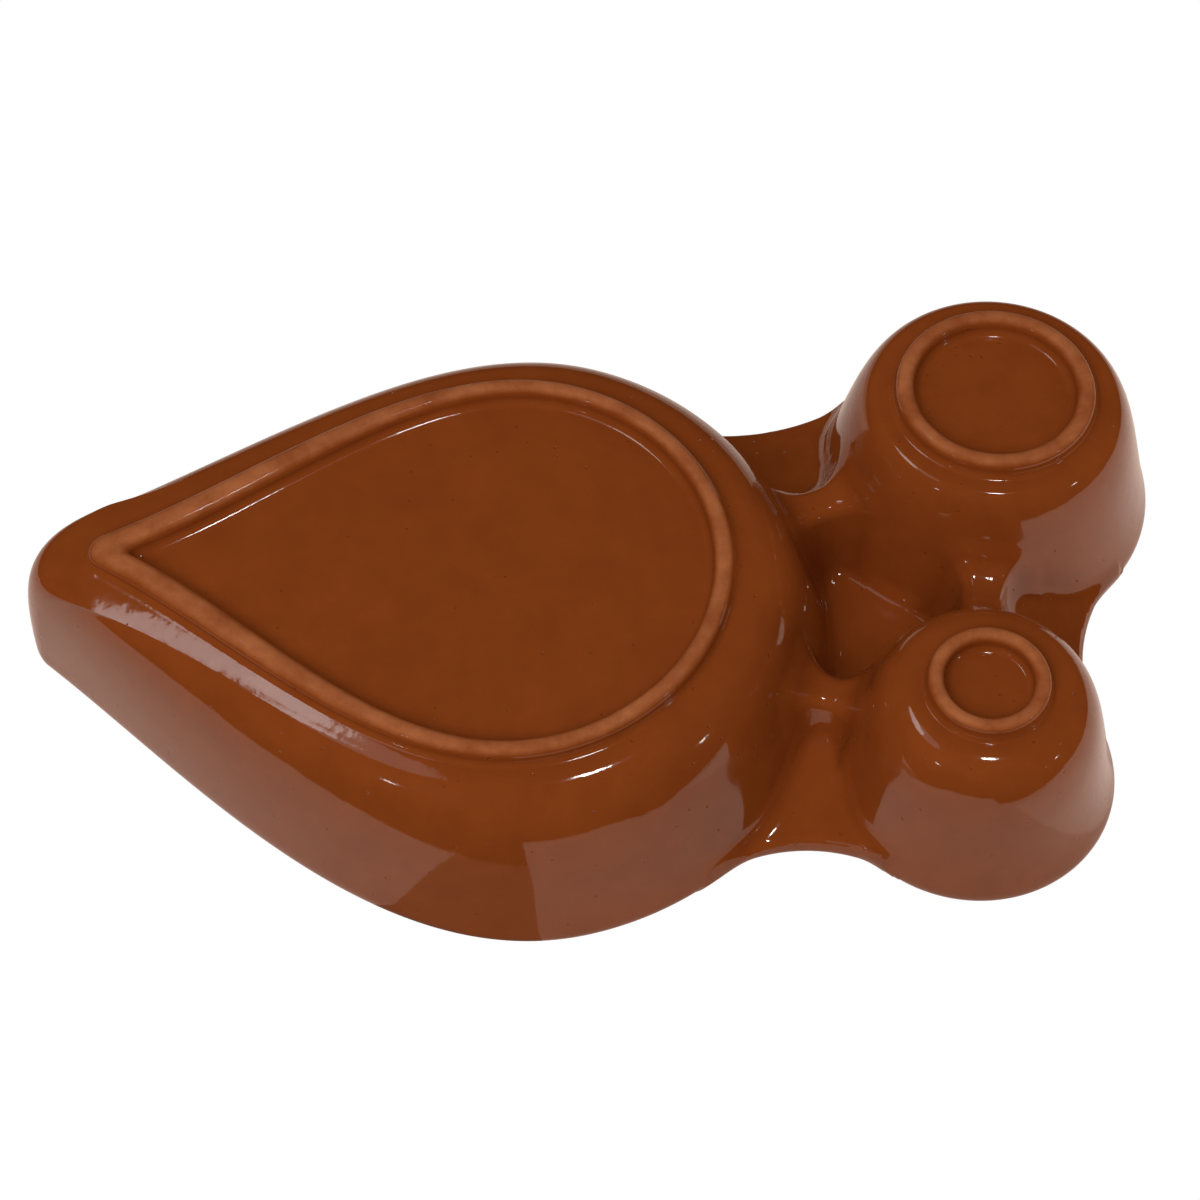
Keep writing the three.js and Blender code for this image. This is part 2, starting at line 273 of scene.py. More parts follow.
@dataclass(frozen=True)
class WallCurve:
    """Handles of a wall's curve from rim to foot, in shares of its run and drop."""

    rim: Handle
    foot: Handle

    def at(self, t: Array) -> tuple[Array, Array]:
        """Share of the run and share of the drop at t, each a Bezier curve from rim to foot.

        Args:
            t: shares of the way from rim to foot.

        Returns:
            The share of the run that is left, and the share of the drop that is done.
        """
        run = bezier(t, (1.0, self.rim[0], self.foot[0], 0.0))
        drop = bezier(t, (0.0, self.rim[1], self.foot[1], 1.0))
        return run, drop

    def towards(self, other: "WallCurve", share: Array) -> "WallCurve":
        """Curves whose handles lie a share of the way to another curve's handles.

        Args:
            other: the curve at share 1.
            share: one share for each curve.

        Returns:
            One wall curve whose handles are arrays.
        """
        rim = tuple(mix(a, b, share) for a, b in zip(self.rim, other.rim))
        foot = tuple(mix(a, b, share) for a, b in zip(self.foot, other.foot))
        return WallCurve(rim, foot)


def grid_quads(rows: int, columns: int, first: int = 0, closed: bool = False) -> Array:
    """Quads of a grid whose rows are loops: a point, the next in its loop, and the two below them.

    Args:
        rows: number of loops.
        columns: number of points in a loop.
        first: index of the grid's first point.
        closed: whether the last loop joins the first one.

    Returns:
        Point indices, four for each quad.
    """
    upper = np.arange(rows if closed else rows - 1)
    row, column = np.meshgrid(upper, np.arange(columns), indexing="ij")
    here, below = row * columns, (row + 1) % rows * columns
    beside = (column + 1) % columns
    corners = [here + column, here + beside, below + beside, below + column]
    return first + np.stack(corners, -1).reshape(-1, 4)


def pole_fans(rows: int, columns: int) -> Array:
    """Triangles that close a grid of loops with a pole before its points and one after them.

    Args:
        rows: number of loops.
        columns: number of points in a loop.

    Returns:
        Point indices, three for each triangle.
    """
    here = np.arange(columns)
    beside = (here + 1) % columns
    last_loop = 1 + (rows - 1) * columns
    last_pole = np.full_like(here, 1 + rows * columns)
    start = np.stack([np.zeros_like(here), 1 + beside, 1 + here], -1)
    end = np.stack([last_pole, last_loop + here, last_loop + beside], -1)
    return np.concatenate([start, end])


@dataclass(eq=False)
class Shell:
    """Points and faces of one closed piece, in millimetres in the part's frame.

    Normals are those of the finished surface, fill is the share of pooled glaze at each point, and
    outside marks the points that other members can meet.
    """

    points: Array
    quads: Array
    triangles: Array
    normals: Array = field(init=False)
    fill: Array = field(init=False)
    outside: Array = field(init=False)

    def __post_init__(self) -> None:
        """Gives every point its faces' normal and no pooled glaze, and counts it as outside."""
        self.normals = self.face_normals()
        self.fill = np.zeros(len(self.points))
        self.outside = np.ones(len(self.points), bool)

    def face_normals(self) -> Array:
        """Vertex normals, as the sum of the normals of the faces round each vertex.

        Returns:
            One unit vector for each point.
        """
        total = np.zeros_like(self.points)
        for faces in (self.quads, self.triangles):
            corner = self.points[faces]
            normal = np.cross(corner[:, 2] - corner[:, 0], corner[:, -1] - corner[:, 1])
            for k in range(faces.shape[1]):
                np.add.at(total, faces[:, k], normal)
        return unit(total)

    @classmethod
    def from_loops(cls, grid: Array) -> "Shell":
        """Closed shell from a grid of loops, with the middle of its end loops as poles.

        Args:
            grid: points as rows x columns x 3, each row a loop.

        Returns:
            The shell, with a pole as its first and its last point.
        """
        rows, columns = grid.shape[:2]
        poles = grid[[0, -1]].mean(1)
        points = np.concatenate([poles[:1], grid.reshape(-1, 3), poles[1:]])
        return cls(points, grid_quads(rows, columns, first=1), pole_fans(rows, columns))

    @classmethod
    def from_ring(cls, grid: Array) -> "Shell":
        """Closed shell from a grid that closes on itself both ways."""
        quads = grid_quads(*grid.shape[:2], closed=True)
        return cls(grid.reshape(-1, 3), quads, np.zeros((0, 3), int))

    @classmethod
    def welded(cls, points: Array, quads: Array, normals: Array) -> "Shell":
        """Closed shell from quads whose corners meet where their points are the same.

        A quad with corners that meet becomes the triangles that are left of it.

        Args:
            points: points, some of them in the same place.
            quads: point indices, four for each quad.
            normals: one normal for each point.

        Returns:
            The shell, with one point for each place.
        """
        places = np.round(points, WELD_DIGITS)
        _, index, inverse = np.unique(places, axis=0, return_index=True, return_inverse=True)
        faces = inverse.reshape(-1)[quads]
        ordered = np.sort(faces, 1)
        whole = (ordered[:, 1:] != ordered[:, :-1]).all(1)
        thin = faces[~whole]
        halves = np.concatenate([thin[:, [0, 1, 2]], thin[:, [0, 2, 3]]])
        left = (halves != np.roll(halves, 1, 1)).all(1)
        shell = cls(points[index], faces[whole], halves[left])
        shell.normals = normals[index]
        return shell


class Member(Protocol):
    """Clay member as its neighbours meet it."""

    def distance(self, p: Array) -> Array:
        """Distance of points from the member's surface, positive outside it."""


@dataclass(eq=False)
class Joined:
    """The clay members together, with slip and glaze that fill the corners between them.

    Each member has the width of its fillet. Towards the rim the fillets narrow by one share, and the
    points are held back by another. Where two members are as near, the later one covers the other.
    """

    members: Sequence[tuple[Member, float]]
    rim_narrowing: float = 0.6
    rim_hold: float = 0.85
    contact: float = 0.01
    precedence: float = 0.25
    hidden_width: float = 0.6
    sink: float = 0.2
    pool_depth: float = 1.5
    slope_step: float = 0.02
    halvings: int = 16

    def distance(self, p: Array) -> Array:
        """Smooth minimum of the distances to all members, each blended in over its own width.

        Args:
            p: points, one a row.

        Returns:
            Distance of each point from the filled surface, positive outside it.
        """
        thin = 1 - self.rim_narrowing * rim_share(p[:, 2])
        depth = self.members[0][0].distance(p)
        for member, fillet in self.members[1:]:
            depth = blend(depth, member.distance(p), fillet * thin)
        return depth

    def slope(self, p: Array) -> Array:
        """Gradient of the distance, by central differences along the three axes.

        Args:
            p: points, one a row.

        Returns:
            One vector for each point.
        """
        axes = np.eye(3) * self.slope_step
        rises = [self.distance(p + a) - self.distance(p - a) for a in axes]
        return np.stack(rises, -1) / (2 * self.slope_step)

    def settle(self, shell: Shell, own: Member, reach: float, lean: float, ramped: bool = False) -> None:
        """Swells a shell to the filled surface, where the joined distance is zero.

        A point moves along its normal leaned downwards, and the move is found by halving an interval.
        Where another member is nearer, the shell stays a little below the filled surface.

        Args:
            shell: the shell, whose points, normals and fill are changed.
            own: the member that the shell belongs to.
            reach: the furthest that a point moves, less near the rim.
            lean: how far down a point moves for each step out.
            ramped: whether the member's own distance also lies outside its shell.
        """
        members = [member for member, _ in self.members]
        widest = max(fillet for _, fillet in self.members)
        others = [m.distance(shell.points) - widest for m in members if m is not own]
        near = np.min(others, 0) < 0
        if ramped:
            near |= own.distance(shell.points) < -self.contact
        near &= shell.outside
        p, n = shell.points[near], shell.normals[near]
        high_up = rim_share(p[:, 2])
        way = unit(n - np.array(UP) * (lean * (1 - high_up))[:, None])
        furthest = reach * (1 - self.rim_hold * high_up)
        free = self.distance(p + furthest[:, None] * way) > 0
        low, high = np.zeros(len(p)), np.where(free, furthest, 0.0)
        for _ in range(self.halvings):
            middle = (low + high) / 2
            inside = self.distance(p + middle[:, None] * way) < 0
            low, high = np.where(inside, middle, low), np.where(inside, high, middle)
        moved = p + high[:, None] * way
        normal = np.where(free[:, None], unit(self.slope(moved)), n)
        gaps = np.array([m.distance(moved) for m in members])
        ranked = gaps - self.precedence * np.arange(len(members))[:, None]
        behind = ranked[members.index(own)] - np.min(ranked, 0)
        hidden = smoothstep(behind / self.hidden_width)
        shell.points[near] = moved - (self.sink * hidden)[:, None] * normal
        shell.normals[near] = normal
        shell.fill[near] = np.clip(np.min(gaps, 0) / self.pool_depth, 0, 1)


@dataclass(eq=False)
class Vessel:
    """Bowl or cup: an outer wall between a foot and a rim outline, a round rim, and the inside.

    A tip curve, where there is one, takes over from the wall's curve over the tip's reach.
    """

    centre: Array
    rim: Outline
    foot: Outline
    ring: Outline
    curve: WallCurve
    tip_curve: WallCurve | None = None
    tip_reach: float = 1.0
    setback: float = 0.0

    @property
    def radius(self) -> float:
        """Radius of the rim round the bulb."""
        return self.rim.radius

    def hub(self, z: float) -> Array:
        """Middle of the foot at a height, about the vessel's centre."""
        return np.array([-self.setback, 0, z])

    def wall(self) -> Array:
        """Loops from the foot up the outer wall, over the round rim and down to the floor.

        Each point lies between the foot and the rim outline by the share of the wall's run, at the
        height that its drop gives, and the inside is set back by the wall's thickness. The rows at
        the start of the round rim are averaged with their neighbours, which eases the crease.

        Returns:
            Points as rows x columns x 3, about the vessel's centre.
        """
        t = np.linspace(0, 1, WALL_STEPS + 1)[:, None]
        turn = np.linspace(0, math.pi, RIM_STEPS + 1)[1:-1]
        base = plain(self.foot)
        curve = self.curve
        if self.tip_curve is not None:
            curve = curve.towards(self.tip_curve, smoothstep(-base[:, 0] / self.tip_reach)[None])
        share, drop = (np.broadcast_to(s, (len(t), len(base))) for s in curve.at(t))
        over = np.ones((len(turn), len(base)))
        shares = np.concatenate([share[::-1], over, share])
        across_rim = RIM_ROUND * (1 - np.cos(turn))
        depths = np.concatenate([np.zeros(len(t)), across_rim, np.full(len(t), WALL)])
        heights = np.concatenate([
            mix(RIM_LEVEL, FOOT_HEIGHT, drop[::-1]),
            (RIM_LEVEL + RIM_ROUND * np.sin(turn))[:, None] * over,
            mix(RIM_LEVEL, FLOOR_LEVEL, drop),
        ])
        foot, rim = self.foot.points(depths), self.rim.points(depths)
        wall = raised(mix(foot, rim, shares[..., None]), heights)
        low, high = WALL_STEPS - EASE_BELOW, WALL_STEPS + EASE_ABOVE
        for _ in range(EASE_PASSES):
            around = wall[low - 1:high - 1] + wall[low + 1:high + 1]
            wall[low:high] = wall[low:high] / 2 + around / 4
        return wall

    def dome(self, wall: Array, share: Array) -> Array:
        """Underside between the foot ring and the wall's foot, which grows steeper towards the wall.

        Its slope runs from a part of the wall's own slope at the ring to all of it at the wall.

        Args:
            wall: loops of wall points, from the foot up.
            share: shares of the way from the ring to the wall, rows by columns.

        Returns:
            Points as rows x columns x 3, about the vessel's centre.
        """
        ring, edge = plain(self.ring), wall[0, :, :2]
        step = wall[1] - wall[0]
        slope = step[:, 2] / level_length(step)
        drop = np.minimum(level_length(edge - ring) * slope, DOME_LIMIT)
        rise = drop * (DOME_START * (1 - share) + (1 - DOME_START) / 2 * (1 - share**2))
        return raised(mix(ring, edge, share[..., None]), FOOT_HEIGHT - rise)

    def ring_base(self, away: Array) -> Array:
        """Points of the underside by their distance outside the foot ring.

        Args:
            away: distances, rows by columns.

        Returns:
            Points as rows x columns x 3, about the vessel's centre.
        """
        wall = self.wall()
        width = level_length(wall[0, :, :2] - plain(self.ring))
        return self.dome(wall, away / width)

    def shell(self) -> Shell:
        """Closed shell from the middle of the underside, over the rim, to the middle of the floor.

        The recess and the floor shrink a loop to its middle, and the dome joins recess and wall.

        Returns:
            The shell, with its points from the crest of the rim inwards marked as not outside.
        """
        wall, ring = self.wall(), plain(self.ring)
        inward = np.linspace(0, 1, CAP_STEPS + 1)[1:-1]
        recess = shrunk(raised(ring, FOOT_HEIGHT), self.hub(FOOT_HEIGHT), inward)
        dome = self.dome(wall, np.linspace(0, 1, DOME_STEPS + 1)[:-1, None])
        floor = shrunk(wall[-1], self.hub(FLOOR_LEVEL), inward[::-1])
        grid = np.concatenate([recess, dome, wall, floor])
        grid[..., :2] += self.centre
        shell = Shell.from_loops(grid)
        crest = len(recess) + len(dome) + WALL_STEPS + 1 + RIM_STEPS // 2
        shell.outside[1 + crest * len(ring):] = False
        return shell

    def profile(self) -> tuple[Array, Array, Array]:
        """Section of the outer wall round the bulb, from the foot up.

        Returns:
            Heights, radii at them, and offsets of the round section from the centre along X.
        """
        share, drop = self.curve.at(np.linspace(1, 0, PROFILE_STEPS))
        heights = mix(RIM_LEVEL, FOOT_HEIGHT, drop)
        return heights, mix(self.foot.radius, self.radius, share), -self.setback * (1 - share)

    def reach_at(self, z: Array | float) -> Array:
        """Radius of the outer wall at a height."""
        heights, radii, _ = self.profile()
        return np.interp(z, heights, radii)

    def distance(self, p: Array) -> Array:
        """Distance from the outer wall and the outer half of the rim, round the bulb.

        Below the rim it is the level distance from the wall, made square to the wall's slope.

        Args:
            p: points, one a row.

        Returns:
            Distance of each point, positive outside the vessel.
        """
        heights, radii, offsets = self.profile()
        away, z = p[:, :2] - self.centre, p[:, 2]
        across = np.hypot(away[:, 0] - np.interp(z, heights, offsets), away[:, 1])
        lean = np.interp(z, heights, np.gradient(radii, heights))
        wall = (across - np.interp(z, heights, radii)) / np.sqrt(1 + lean**2)
        bead = np.hypot(across - self.radius + RIM_ROUND, z - RIM_LEVEL) - RIM_ROUND
        top = np.where(across > self.radius - RIM_ROUND, bead, z - HEIGHT)
        return np.where(z < RIM_LEVEL, np.maximum(wall, across - self.radius), top)


@dataclass(eq=False)
class Hollow:
    """Hollow outer edge of the web, an arc that sweeps from one rim to the next.

    Off is how far the arc's deepest place lies from the line between the two centres.
    """

    start: Vessel
    end: Vessel
    radius: float
    outward: Array = field(init=False)
    off: float = field(init=False)
    centre: Array = field(init=False)

    def __post_init__(self) -> None:
        """Finds the arc's centre, which lies its radius outside both rims, less the web's bite."""
        a, b = (vessel.radius - WEB_BITE + self.radius for vessel in (self.start, self.end))
        span = self.end.centre - self.start.centre
        length = level_length(span)
        along = (a**2 - b**2 + length**2) / (2 * length)
        out = math.sqrt(a**2 - along**2)
        forward = span / length
        self.outward = np.array([forward[1], -forward[0]])
        self.off = out - self.radius
        self.centre = self.start.centre + along * forward + out * self.outward

    def ramp(self, p: Array) -> Array:
        """Distance from the sloping plane that runs from the rib to this edge.

        Args:
            p: points, one a row.

        Returns:
            Distance of each point, negative above the plane.
        """
        off = (p[:, :2] - self.start.centre) @ self.outward
        rise = WEB_UNDERSIDE - RAMP_GAP - RAMP_LEVEL
        slope = rise / (self.off - RAMP_INSET - RAMP_START)
        plane = RAMP_LEVEL + slope * (off - RAMP_START)
        return np.maximum((plane - p[:, 2]) / math.sqrt(1 + slope**2), -off)

    def overhang(self, p: Array) -> Array:
        """How far points lie past this edge: the distance from the arc, and from its ends' tangents.

        Args:
            p: points, one a row.

        Returns:
            Distance of each point, negative inside the web.
        """
        away = p[:, :2] - self.centre
        past = self.radius - level_length(away)
        for vessel, side in ((self.start, 1), (self.end, -1)):
            line = unit(vessel.centre - self.centre)
            off = side * (line[0] * away[:, 1] - line[1] * away[:, 0])
            beyond = np.maximum(self.radius - away @ line, -vessel.radius) + END_SLOPE * off
            past = np.where(off > 0, beyond, past)
        return past


@dataclass(eq=False)
class Web:
    """Flat web between the three rims, with round hollow edges.

    It lies a little below the rims, is tucked into rims and walls, and goes over into the ramps.
    """

    edges: tuple[Hollow, Hollow, Hollow]
    sunk: float = 0.6
    rim_tuck: float = 2.0
    wall_tuck: float = 1.5
    ramp_edge: float = 1.5
    ramp_top: float = 3.0
    ramp_fillet: float = 3.0
    columns: int = 65
    rows: int = 90
    roll: int = 12

    @property
    def half(self) -> float:
        """Half of the web's thickness."""
        return (WEB_THICKNESS - self.sunk) / 2

    @property
    def level(self) -> float:
        """Height of the middle of the web's thickness."""
        return HEIGHT - self.sunk - self.half

    @property
    def middle(self) -> Array:
        """Middle of the web, as the mean of the middles of its three necks.

        Returns:
            The place as seen from above.
        """
        necks = []
        for edge in self.edges:
            span = edge.end.centre - edge.start.centre
            along = (edge.start.radius + level_length(span) - edge.end.radius) / 2
            necks.append(edge.start.centre + unit(span) * along)
        return np.mean(necks, 0)

    def distance(self, p: Array) -> Array:
        """Distance from the slab with its round edges, blended with the ramps below it.

        Args:
            p: points, one a row.

        Returns:
            Distance of each point, positive outside the web.
        """
        half, z = self.half, p[:, 2]
        past = np.max([edge.overhang(p) for edge in self.edges], 0)
        for vessel in (edge.start for edge in self.edges):
            inner = np.where(z > RIM_LEVEL, vessel.radius - RIM_ROUND, vessel.reach_at(z) - WALL)
            past = np.maximum(past, inner - level_length(p[:, :2] - vessel.centre))
        slab = np.hypot(np.maximum(past + half, 0), z - self.level) - half
        within = np.maximum(past + self.ramp_edge, z - self.level + self.ramp_top)
        for edge in self.edges:
            slab = blend(slab, np.maximum(edge.ramp(p), within), self.ramp_fillet)
        return slab

    def patch(self, edge: Hollow, z: float) -> Array:
        """One neck in plan, from the middle of the web to a hollow edge, rim to rim.

        Along the neck's line a point lies between the two rims, and off that line it lies between
        the spokes to the middle of the web and the hollow edge.

        Args:
            edge: the hollow edge that the neck ends at.
            z: height of the web's upper or lower side.

        Returns:
            Points as rows x columns x 2.
        """
        half = self.half
        u = np.linspace(0, 1, self.columns)[None]
        v = np.linspace(0, 1, self.rows)[:, None]
        sides = []
        for vessel in (edge.start, edge.end):
            first = bearing(self.middle - vessel.centre)
            sweep = bearing(edge.centre - vessel.centre) - first
            turn = (sweep + math.pi) % (2 * math.pi) - math.pi
            upper = z > self.level
            tuck = vessel.radius - self.rim_tuck if upper else vessel.reach_at(z) - self.wall_tuck
            reach = mix(tuck, vessel.radius - WEB_BITE - half, smoothstep(v))
            sides.append(vessel.centre + reach * heading(first + turn * v[:, 0]))
        axes = np.stack([np.array([-edge.outward[1], edge.outward[0]]), edge.outward], 1)
        left, right = (side @ axes for side in sides)
        middle, (across, out) = self.middle @ axes, edge.centre @ axes
        inbound, outbound = mix(left[0], middle, 2 * u.T), mix(middle, right[0], 2 * u.T - 1)
        spokes = np.where(u.T < 0.5, inbound, outbound)
        x = mix(left[:, :1], right[:, :1], u)
        edge_y = out - np.sqrt((edge.radius + half) ** 2 - (x[-1] - across) ** 2)
        x = x + (spokes[:, 0] - x[0]) * (1 - v) ** 2
        climbs = [(side[:, 1:] - side[0, 1]) / (side[-1, 1] - side[0, 1]) for side in (left, right)]
        y = mix(spokes[:, 1], edge_y, mix(*climbs, u))
        return np.stack([x, y], -1) @ axes.T

    def shell(self) -> Shell:
        """Closed shell of three necks: each a run of flat loops from the middle to its round edge.

        Returns:
            The shell, with the necks welded where they meet.
        """
        points, quads, normals, count = [], [], [], 0
        turn = np.linspace(0, math.pi / 2, self.roll + 1)[1:]
        drop = np.concatenate([np.ones(self.rows), np.cos(turn)])[:, None]
        bulge = np.concatenate([np.zeros(self.rows), np.sin(turn)])[:, None, None]
        for edge in self.edges:
            under, over = (self.patch(edge, self.level + side * self.half) for side in (-1, 1))
            outward = unit(edge.centre - under[-1])
            sheets, ways = [], []
            for side, plan in ((-1, under), (1, over)):
                lip = plan[-1] + self.half * bulge[self.rows:] * outward
                sheets.append(raised(np.concatenate([plan, lip]), self.level + side * self.half * drop))
                ways.append(raised(bulge * outward, side * drop))
            loops = np.concatenate([sheets[0], sheets[1][:, ::-1]], 1)
            facing = np.concatenate([ways[0], ways[1][:, ::-1]], 1)
            points.append(loops.reshape(-1, 3))
            normals.append(facing.reshape(-1, 3))
            quads.append(grid_quads(*loops.shape[:2], first=count))
            count += len(points[-1])
        return Shell.welded(np.concatenate(points), np.concatenate(quads), np.concatenate(normals))


@dataclass(eq=False)
class Rib:
    """Saddle rib below the web, on the line between two vessels' centres.

    It is tucked into both walls, and its root is hidden in the web's thickness.
    """

    start: Vessel
    end: Vessel
    tuck: float = 2.4
    cover: float = 1.5
    rows: int = 60
    side_steps: int = 40
    round_steps: int = 14
    crest_steps: int = 8
    root_steps: int = 16
    forward: Array = field(init=False)
    across: Array = field(init=False)
    gap: float = field(init=False)
    middle: Array = field(init=False)

    def __post_init__(self) -> None:
        """Finds the rib's directions, the gap between the rims, and the middle of the gap."""
        span = self.end.centre - self.start.centre
        self.forward = unit(span)
        self.across = np.array([-self.forward[1], self.forward[0]])
        self.gap = level_length(span) - self.start.radius - self.end.radius
        self.middle = self.start.centre + self.forward * (self.start.radius + self.gap / 2)

    def fall(self, z: Array, along: Array) -> Array:
        """How far the wall at that end lies from the middle of the rib, at a height."""
        back = [vessel.radius - vessel.reach_at(z) for vessel in (self.start, self.end)]
        return self.gap / 2 + np.where(along < 0, back[0], back[1])

    def shell(self) -> Shell:
        """Closed shell of a round-crested section along the rib, which flares towards both walls.

        A half section runs down a straight side, round a Bezier corner and along the flat crest, and
        the flare grows with the square of the way from the middle.

        Returns:
            The shell, with both its ends inside the walls.
        """
        along = np.linspace(-1, 1, self.rows)[:, None]
        flare = RIB_FLARE * along**2
        crest, root = HEIGHT - RIB_DROP - flare, np.full_like(flare, RIB_ROOT)
        half_crest, half_root = RIB_CREST_WIDTH / 2 + flare, RIB_ROOT_WIDTH / 2 + flare
        lean = np.arctan2(half_root - half_crest, root - crest)
        turn_y, turn_z = half_crest + RIB_ROUND * np.sin(lean), crest + RIB_ROUND * np.cos(lean)
        flat_y = half_crest - RIB_ROUND
        down = np.linspace(0, 1, self.side_steps)[None]
        t = np.linspace(0, 1, self.round_steps)[None, 1:]
        inward = np.linspace(1, 0, self.crest_steps)[None, 1:]
        half_y = np.concatenate([
            mix(half_root, turn_y, down), bend(t, turn_y, half_crest, flat_y), flat_y * inward], 1)
        half_z = np.concatenate([
            mix(root, turn_z, down), bend(t, turn_z, crest, crest), crest * np.ones_like(inward)], 1)
        root_y = half_root * np.linspace(-1, 1, self.root_steps)[None, 1:-1]
        root_z = np.full_like(root_y, RIB_ROOT)
        y = np.concatenate([half_y, -half_y[:, -2::-1], root_y], 1)
        z = np.concatenate([half_z, half_z[:, -2::-1], root_z], 1)
        x = along * (self.fall(z, along) + self.tuck)
        level = self.middle + x[..., None] * self.forward + y[..., None] * self.across
        return Shell.from_loops(raised(level, z)[::-1])

    def distance(self, p: Array) -> Array:
        """Distance from the rib's crest and sides, with its round edges.

        Args:
            p: points, one a row.

        Returns:
            Distance of each point, positive outside the rib.
        """
        away = p[:, :2] - self.middle
        x, y, z = away @ self.forward, np.abs(away @ self.across), p[:, 2]
        fall = self.fall(z, x)
        flare = RIB_FLARE * np.clip(x / fall, -FLARE_LIMIT, FLARE_LIMIT) ** 2
        crest = HEIGHT - RIB_DROP - flare
        lean = (RIB_ROOT_WIDTH - RIB_CREST_WIDTH) / 2 / (RIB_ROOT - crest)
        flank = RIB_CREST_WIDTH / 2 + flare + lean * (z - crest)
        side = (y - flank) / np.sqrt(1 + lean**2) + RIB_ROUND
        top = crest - z + RIB_ROUND
        corner = np.hypot(np.maximum(side, 0), np.maximum(top, 0))
        edge = corner + np.minimum(np.maximum(side, top), 0) - RIB_ROUND
        ends = np.abs(x) - fall - self.tuck
        return np.maximum(np.maximum(edge, ends), z - HEIGHT + self.cover)


@dataclass(eq=False)
class FootRing:
    """Foot ring under a vessel, with a fillet to the wall outside and to the recess inside.

    Past each fillet a thin lap runs on and then up into the vessel, so that no gap shows.
    """

    centre: Array
    outer: Outline
    inner: Outline
    width: float
    fillet: float
    recess_fillet: float
    edge: float = 2.05
    lap: float = 0.4
    lap_rise: float = 0.012
    lap_end: float = 0.9
    lap_end_rise: float = 0.35
    core_rise: float = 0.8
    least_face: float = 0.05

    def section(self) -> Array:
        """Section of the ring, by the way in from its outer face and the height.

        It runs from the lap and the fillet outside, down the outer face, round the bottom edges, up
        the inner face and out through the inner fillet, and its top is hidden in the vessel's floor.

        Returns:
            Points as rows x 2.
        """
        top, w, e = FOOT_HEIGHT, self.width, self.edge
        outside, inside = -self.fillet, w + self.recess_fillet
        quarter = np.linspace(0, math.pi / 2, ROUND_STEPS)
        return np.concatenate([
            [[outside - self.lap_end, top + self.lap_end_rise]],
            [[outside - self.lap, top + self.lap_rise]],
            arc(outside, top - self.fillet, self.fillet, quarter[::-1]),
            arc(e, e, e, math.pi + quarter),
            arc(w - e, e, e, 1.5 * math.pi + quarter),
            arc(inside, top - self.recess_fillet, self.recess_fillet, math.pi - quarter),
            [[inside + self.lap, top + self.lap_rise]],
            [[inside + self.lap_end, top + self.lap_end_rise]],
            [[w / 2, top + self.core_rise]],
        ])

    def shell(self, base: Callable[[Array], Array]) -> Shell:
        """Closed ring: its section swept between the outer and inner outlines.

        Outside the ring the section is laid on the vessel's underside, and its fillet is stretched
        to reach from there to the outer face.

        Args:
            base: points of the underside by their distance outside the ring, rows by columns.

        Returns:
            The shell.
        """
        section = self.section()
        outer, inner = plain(self.outer), plain(self.inner)
        level = mix(outer, inner, (section[:, 0] / self.width)[:, None, None]) + self.centre
        z = np.repeat(section[:, 1:], len(outer), 1)
        stretch = level_length(inner - outer) / self.width
        out = slice(0, 2 + ROUND_STEPS)
        under = base(-section[out, :1] * stretch)
        level[out] = under[..., :2] + self.centre
        rise = section[out, 1:] - FOOT_HEIGHT
        fall = np.maximum(-rise / self.fillet, 0) * (under[-1, :, 2] - self.edge - self.least_face)
        z[out] = under[..., 2] + np.maximum(rise, 0) - fall
        return Shell.from_ring(raised(level, z)[::-1])


def srgb(code: str) -> tuple[float, float, float, float]:
    """Linear colour from an sRGB hex code."""
    values = (int(code[i:i + 2], 16) / 255 for i in (1, 3, 5))
    return (*(v / 12.92 if v <= 0.04045 else ((v + 0.055) / 1.055) ** 2.4 for v in values), 1.0)


def pattern_scale(size: float) -> float:
    """Texture scale that makes a pattern's features a size in millimetres."""
    return 1 / (size * MM)


class Slot(Enum):
    """Names of the material slots."""

    GLAZE = "honey_glaze"
    CLAY = "bare_terracotta"


class Nodes:
    """Node tree of a material or a world."""

    def __init__(self, owner: bpy.types.Material | bpy.types.World) -> None:
        """Takes the owner's node tree and empties it.

        Args:
            owner: the material or world.
        """
        owner.use_nodes = True
        self.tree = owner.node_tree
        self.tree.nodes.clear()

    def add(self, kind: str, inputs: dict | None = None, **settings: object) -> bpy.types.Node:
        """Adds a node, sets its properties, and sets or links its inputs.

        Args:
            kind: Blender's name of the node.
            inputs: a value, or an output to link, by the name or number of the input.
            settings: properties of the node.

        Returns:
            The node.
        """
        node = self.tree.nodes.new(kind)
        for key, value in settings.items():
            setattr(node, key, value)
        for key, value in (inputs or {}).items():
            if isinstance(value, bpy.types.NodeSocket):
                self.tree.links.new(value, node.inputs[key])
            else:
                node.inputs[key].default_value = value
        return node


